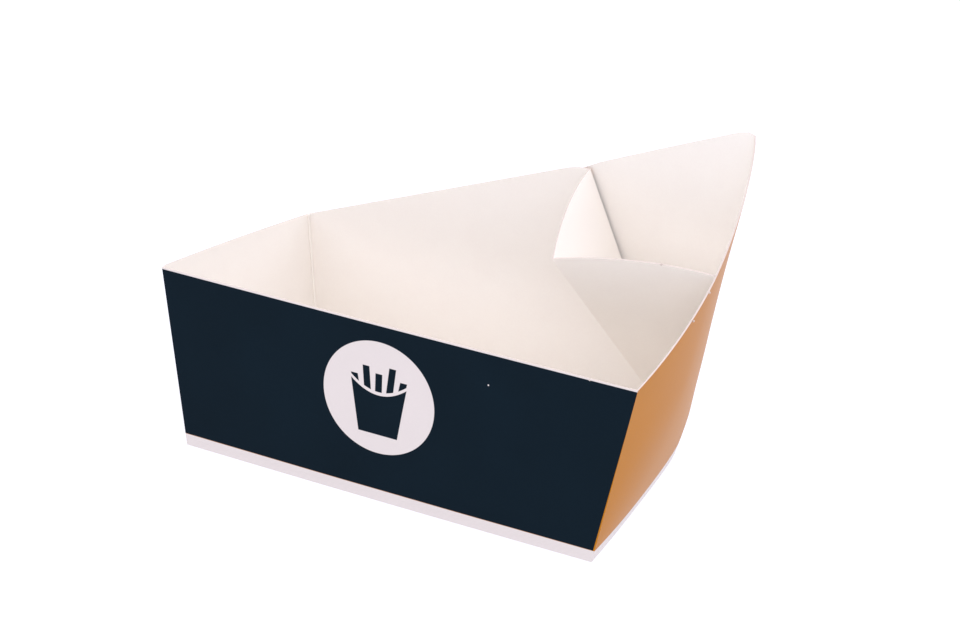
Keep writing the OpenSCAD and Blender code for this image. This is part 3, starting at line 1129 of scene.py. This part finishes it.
class BuildTray(bpy.types.Operator):
    """Fold the printed card sheet with its pocket."""

    bl_idname = "fries_tray.build_tray"
    bl_label = "Card tray"

    def execute(self, context):
        group = settings()
        t, p = group.shape, group.ink
        w = wall_rule(t)
        materials = {
            "front_print": front_print(p, w),
            "side_print": side_print(p, w),
            "underside": plain_coat("underside", p.coat, 0.3),
            "pocket_coat": plain_coat("pocket_coat", p.inside, 0.4),
            # Dried glue, dark as painted shade so that the slit behind the pocket's fold looks deep
            "glue_and_slit_shade": plain_coat("glue_and_slit_shade", p.glue, 0.4),
            "inside_board": inside_board(p),
            "cut_edge": cut_edge(p),
        }
        sheet = outer_sheet(t, w, materials["side_print"])
        thicken(sheet, t.card)
        mesh = bpy.data.meshes.new("tray")
        sheet.to_mesh(mesh)
        sheet.free()
        mesh.shade_smooth()
        piece = new_piece("tray_card", mesh, [materials[name] for name in SLOT_NAMES])
        bevel = piece.modifiers.new("Folds and cut edges", "BEVEL")
        bevel.limit_method = "WEIGHT"
        bevel.width = BEVEL_UNIT
        bevel.segments = 2
        bevel.profile = 0.6
        bevel.use_clamp_overlap = True
        even_normals = piece.modifiers.new("Flat panels", "WEIGHTED_NORMAL")
        even_normals.weight = 80
        with_modifiers(piece)
        dress(piece)
        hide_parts(NODE)
        return {"FINISHED"}


class BuildCreases(bpy.types.Operator):
    """Lay the ridges that creasing leaves inside the folds."""

    bl_idname = "fries_tray.build_creases"
    bl_label = "Crease ridges"

    def execute(self, context):
        group = settings()
        w = wall_rule(group.shape)
        board = bpy.data.materials["inside_board"]
        sheet = outer_sheet(group.shape, w, board)
        creased = [{"left", "rear"}] + [{"base", side} for side in ("front", "left", "right")]
        folds = [fold for fold in thicken(sheet, group.shape.card) if fold[0] in creased]
        sheet.free()
        mesh = crease_bead_mesh(folds, group.wear.bead_r, board)
        dress(new_piece("crease_ridges", mesh, []))
        return {"FINISHED"}


class BuildTags(bpy.types.Operator):
    """Set the torn tags on the cut edges."""

    bl_idname = "fries_tray.build_tags"
    bl_label = "Torn tags"

    def execute(self, context):
        group = settings()
        places = tag_places(group.shape, wall_rule(group.shape))
        mesh = torn_tag_mesh(places, group.wear, bpy.data.materials["cut_edge"])
        dress(new_piece("torn_tags", mesh, []))
        return {"FINISHED"}


class BuildStage(bpy.types.Operator):
    """Set the floor, the surroundings, the light and the camera."""

    bl_idname = "fries_tray.build_stage"
    bl_label = "Stage"

    def execute(self, context):
        scene = context.scene
        stage = settings().stage
        mesh = bpy.data.meshes.new("floor")
        signs = ((-1, -1), (1, -1), (1, 1), (-1, 1))
        corners = [(x * FLOOR_HALF, y * FLOOR_HALF, -FLOOR_DROP) for x, y in signs]
        mesh.from_pydata(corners, [], [(0, 1, 2, 3)])
        floor = new_piece("floor", mesh, [floor_paper()])

        world = bpy.data.worlds.new("white_surroundings")
        tree = emptied(world)
        _, _, up = tree.split(tree.add("ShaderNodeTexCoord"))
        low = clamped((HORIZON_TOP - up) / HORIZON_FADE) * stage.horizon
        middle = greatest(0.0, 1.0 - abs(up - MIDDLE_HEIGHT) / MIDDLE_HALF) * stage.middle
        strength = greatest(0.0, up) * up * stage.sky + greatest(low, middle)
        sky = tree.add("ShaderNodeBackground", {0: (*DAYLIGHT, 1.0), 1: strength})
        tree.add("ShaderNodeOutputWorld", {0: sky})
        scene.world = world

        light = bpy.data.lights.new("overhead_softbox", "AREA")
        light.shape = "DISK"
        light.size = SOFTBOX_SIZE
        light.energy = stage.key
        lamp = placed("overhead_softbox", light)
        lamp.location = SOFTBOX_PLACE
        ahead = Vector(SOFTBOX_AIM) - lamp.location
        lamp.rotation_euler = ahead.to_track_quat("-Z", "Y").to_euler()

        camera = bpy.data.cameras.new("photo_view")
        camera.lens = stage.lens
        camera.sensor_width = 36.0
        camera.clip_start = 0.01
        eye = placed("photo_view", camera)
        eye.matrix_world = camera_place(stage)
        scene.camera = eye
        scene.view_settings.view_transform = "Standard"
        return {"FINISHED"}


def camera_place(stage):
    """The camera's place and turn: its own right, up and back as columns."""
    turn, rise, roll = stage.turn, stage.height, stage.roll
    ahead = Vector((-math.sin(turn) * math.cos(rise), math.cos(turn) * math.cos(rise), -math.sin(rise)))
    right = Vector((math.cos(turn), math.sin(turn), 0.0))
    up = right.cross(ahead)
    eye = right * stage.target_x + up * stage.target_y - ahead * stage.reach
    rolled_right = right * math.cos(roll) + up * math.sin(roll)
    rolled_up = up * math.cos(roll) - right * math.sin(roll)
    turned = Matrix((rolled_right, rolled_up, -ahead)).transposed()
    return Matrix.Translation(eye) @ turned.to_4x4()


class TrayPanel(bpy.types.Panel):
    """The tray's pieces and settings."""

    bl_idname = "VIEW3D_PT_fries_tray"
    bl_label = "Fries tray"
    bl_space_type = "VIEW_3D"
    bl_region_type = "UI"
    bl_category = "Fries tray"

    def draw(self, context):
        group = settings()
        for title in ("shape", "ink", "wear", "stage"):
            part = getattr(group, title)
            box = self.layout.box()
            box.label(text=title.capitalize())
            for name in part.__annotations__:
                box.prop(part, name)
        for operator in OPERATORS:
            self.layout.operator(operator.bl_idname)


class TraySettings(bpy.types.PropertyGroup):
    shape: PointerProperty(type=TrayShape, name="Shape", description="Sizes of the tray")
    ink: PointerProperty(type=TrayPrint, name="Print", description="Colours and print")
    wear: PointerProperty(type=TrayWear, name="Wear", description="Creases and torn tags")
    stage: PointerProperty(type=TrayStage, name="Stage", description="Camera and light")


OPERATORS = (BuildStage, BuildTray, BuildCreases, BuildTags)
GROUPS = (TrayShape, TrayPrint, TrayWear, TrayStage, TraySettings)


def register():
    for kind in (*GROUPS, *OPERATORS, TrayPanel):
        bpy.utils.register_class(kind)
    bpy.types.Scene.fries_tray = PointerProperty(
        type=TraySettings, name="Fries tray", description="Settings of the fries tray"
    )


def unregister():
    del bpy.types.Scene.fries_tray
    for kind in (TrayPanel, *reversed(OPERATORS), *reversed(GROUPS)):
        bpy.utils.unregister_class(kind)


def main():
    register()
    bpy.ops.fries_tray.build_stage()
    bpy.ops.fries_tray.build_tray()
    bpy.ops.fries_tray.build_creases()
    bpy.ops.fries_tray.build_tags()


if __name__ == "__main__":
    main()
